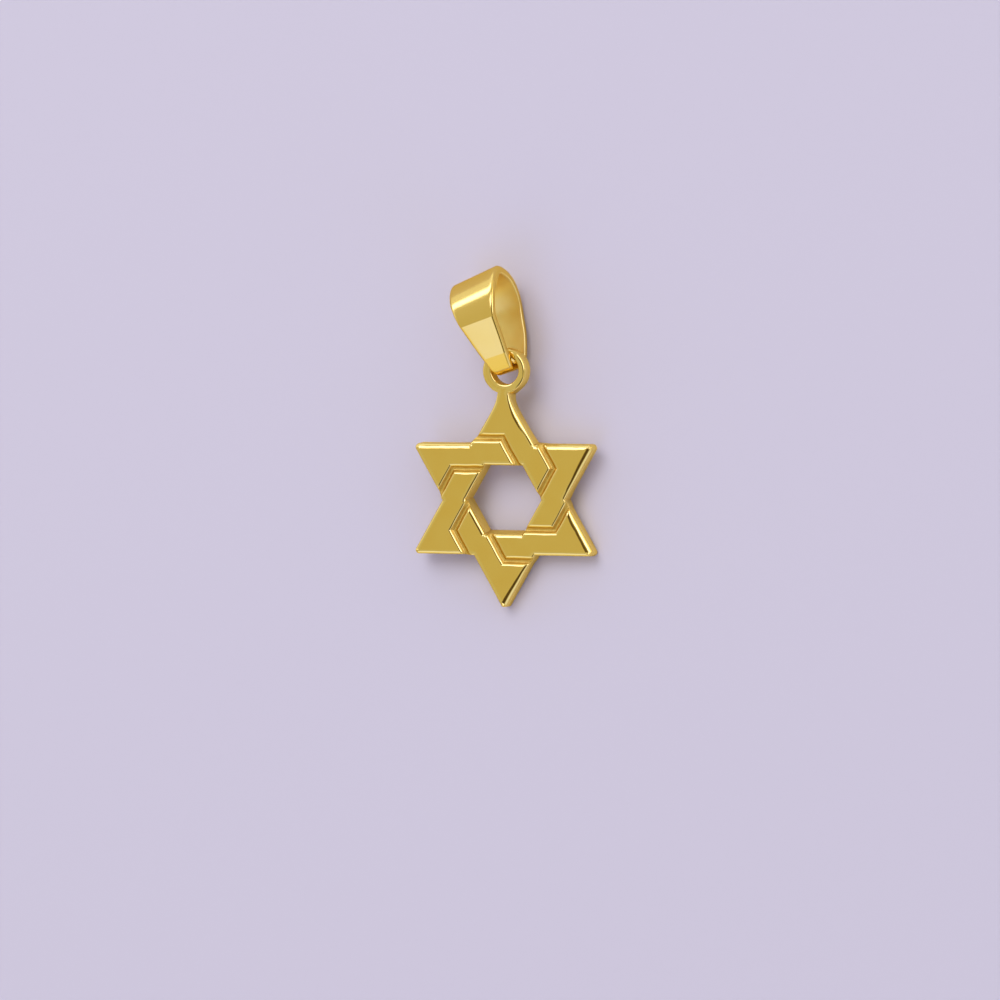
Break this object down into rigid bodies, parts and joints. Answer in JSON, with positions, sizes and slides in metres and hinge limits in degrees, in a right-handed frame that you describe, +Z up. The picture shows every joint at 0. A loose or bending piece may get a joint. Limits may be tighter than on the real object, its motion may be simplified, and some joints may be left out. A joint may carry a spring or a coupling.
{
  "type": "star pendant with bail",
  "caption": "Flat hexagram pendant with a woven face, a cast eye and a tapered strap bail that carries it on a chain.",
  "frame": {"origin": "centre of the bounding box's foot, on the surface that the pendant lies on", "axes": "+Y from the bottom tip of the star towards the bail, +Z up out of the surface, on the side of the woven face"},
  "size_m": [0.0138, 0.0248, 0.0055],
  "materials": {
    "star_gold": "polished",
    "bail_gold": "polished"
  },
  "bodies": {
    "root": {"star": "star_gold", "bail": "bail_gold"}
  },
  "joints": []
}
